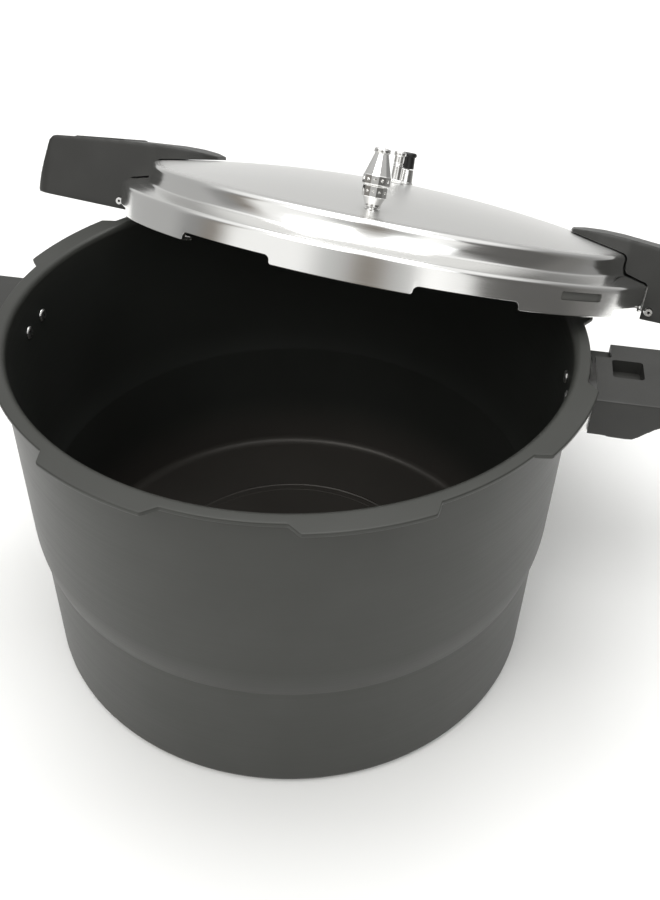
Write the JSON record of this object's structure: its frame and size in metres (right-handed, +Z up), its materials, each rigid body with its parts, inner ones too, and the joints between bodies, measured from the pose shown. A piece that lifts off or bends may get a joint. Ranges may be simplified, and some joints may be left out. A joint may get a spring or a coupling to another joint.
{
  "type": "stovetop pressure cooker",
  "caption": "Large hard-anodised stovetop pressure cooker, open, its polished lid lying tilted on the rear of the rim; the lid closes up and over and turns to lock.",
  "frame": {"origin": "centre of the flat base of the pot, on the pot's axis", "axes": "+Z up the pot's axis; +X to the right of the pot as seen from its front, towards the right handle; +Y to the back, where the open lid lies"},
  "size_m": [0.5625, 0.4954, 0.3253],
  "materials": {
    "pot_aluminium": "hard anodised charcoal grey, satin outside, darker inside",
    "lid_aluminium": "polished skirts, softly satin dome",
    "bracket_steel": "bright pressed steel",
    "fastener_steel": "plain zinc-bright steel",
    "phenolic": "moulded phenolic, dark grey, fine texture",
    "seal_rubber": "moulded sealing rubber, matt",
    "valve_rubber": "black sealing washer",
    "valve_metal": "turned and polished",
    "weight_steel": "faceted, brightly polished",
    "black_plastic": "black moulded cap"
  },
  "bodies": {
    "pot": {"pot_shell": "pot_aluminium", "pot_bracket_left": "bracket_steel", "pot_bracket_right": "bracket_steel", "pot_rivets": "bracket_steel", "pot_handle_left": "phenolic", "pot_handle_right": "phenolic", "pot_handle_screws": "fastener_steel", "pot_handle_nuts": "fastener_steel"},
    "valve_ball": {"safety_ball": "valve_metal"},
    "gasket_ring": {"gasket": "seal_rubber"},
    "lid": {"lid_shell": "lid_aluminium", "lid_bracket_left": "bracket_steel", "lid_bracket_right": "bracket_steel", "lid_rivets": "bracket_steel", "lid_handle_left": "phenolic", "lid_handle_right": "phenolic", "lid_handle_cap_left": "phenolic", "lid_handle_cap_right": "phenolic", "lid_handle_screws": "fastener_steel", "vent_pipe": "valve_metal", "vent_seal": "valve_rubber", "vent_nut": "fastener_steel", "vent_strainer": "valve_metal", "safety_body": "valve_metal", "safety_head": "valve_metal", "safety_spring": "fastener_steel", "safety_seal": "valve_rubber", "safety_nut": "fastener_steel", "float_sleeve": "valve_metal", "float_seal": "valve_rubber", "float_nut": "fastener_steel"},
    "weight": {"weight_body": "weight_steel", "weight_base": "weight_steel", "weight_needle": "valve_metal"},
    "float": {"float_pin": "fastener_steel", "float_cap": "black_plastic"}
  },
  "joints": [
    {"name": "lid_carry", "type": "hinge", "parent": "pot", "child": "valve_ball", "pos_m": [0.03722, 0.07875, 0.2789], "axis": [0.9041, -0.4274, 0], "range_deg": [0, 197.87]},
    {"name": "lid_level", "type": "hinge", "parent": "valve_ball", "child": "gasket_ring", "pos_m": [0.07265, 0.1537, 0.25218], "axis": [0.9041, -0.4274, 0], "range_deg": [-174.53, 0]},
    {"name": "lid_turn", "type": "hinge", "parent": "gasket_ring", "child": "lid", "pos_m": [0.07265, 0.1537, 0.25218], "axis": [0.1694, 0.3583, 0.9181], "range_deg": [0, 4.5]},
    {"name": "weight_lift", "type": "slide", "parent": "lid", "child": "weight", "axis": [0.1694, 0.3583, 0.9181], "range_m": [0, 0.03]},
    {"name": "float_rise", "type": "slide", "parent": "lid", "child": "float", "axis": [0.1694, 0.3583, 0.9181], "range_m": [0, 0.0016]}
  ],
  "couplings": [
    {"joint": "lid_level", "follows": "lid_carry", "ratio": -0.88199}
  ]
}
